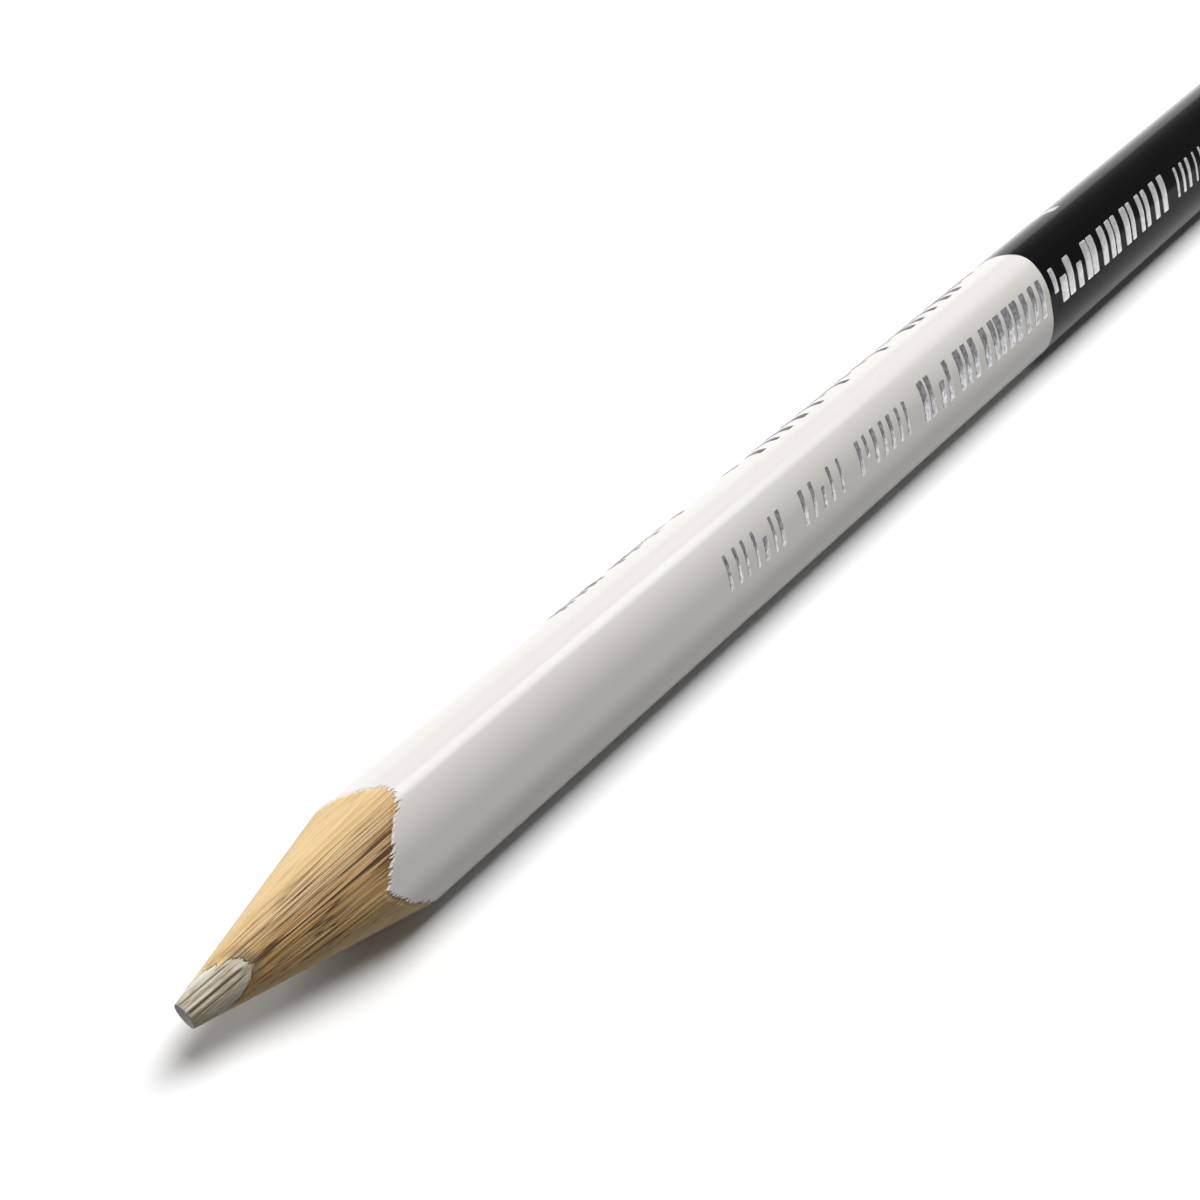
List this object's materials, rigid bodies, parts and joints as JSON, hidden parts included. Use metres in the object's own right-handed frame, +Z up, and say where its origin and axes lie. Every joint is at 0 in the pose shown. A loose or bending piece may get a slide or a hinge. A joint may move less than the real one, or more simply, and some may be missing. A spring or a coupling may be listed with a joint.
{
  "type": "double-ended marking pencil",
  "caption": "Soft-triangular wood-cased marking pencil, lacquered white on one half and black on the other, sharpened at each end to a core of the same colour.",
  "frame": {"origin": "middle of the pencil's length, on the surface that it lies on, straight under its axis", "axes": "+X along the pencil from the white point to the black point, +Z up from the face that it lies on"},
  "size_m": [0.175, 0.0072, 0.0072],
  "materials": {
    "wood": "raw basswood, cut across by a sharpener",
    "glue": "dried wood glue",
    "white_core": "pressed white pigment and wax, matt",
    "black_core": "pressed black pigment and wax, matt",
    "primer": "chalky filler coat, matt",
    "white_lacquer": "gloss lacquer",
    "black_lacquer": "gloss lacquer"
  },
  "bodies": {
    "root": {"upper_slat": "wood", "lower_slat": "wood", "seam_glue_back": "glue", "seam_glue_front": "glue", "white_core_bond": "glue", "black_core_bond": "glue", "white_core": "white_core", "black_core": "black_core", "primer_coat": "primer", "white_lacquer": "white_lacquer", "black_lacquer": "black_lacquer"}
  },
  "joints": []
}
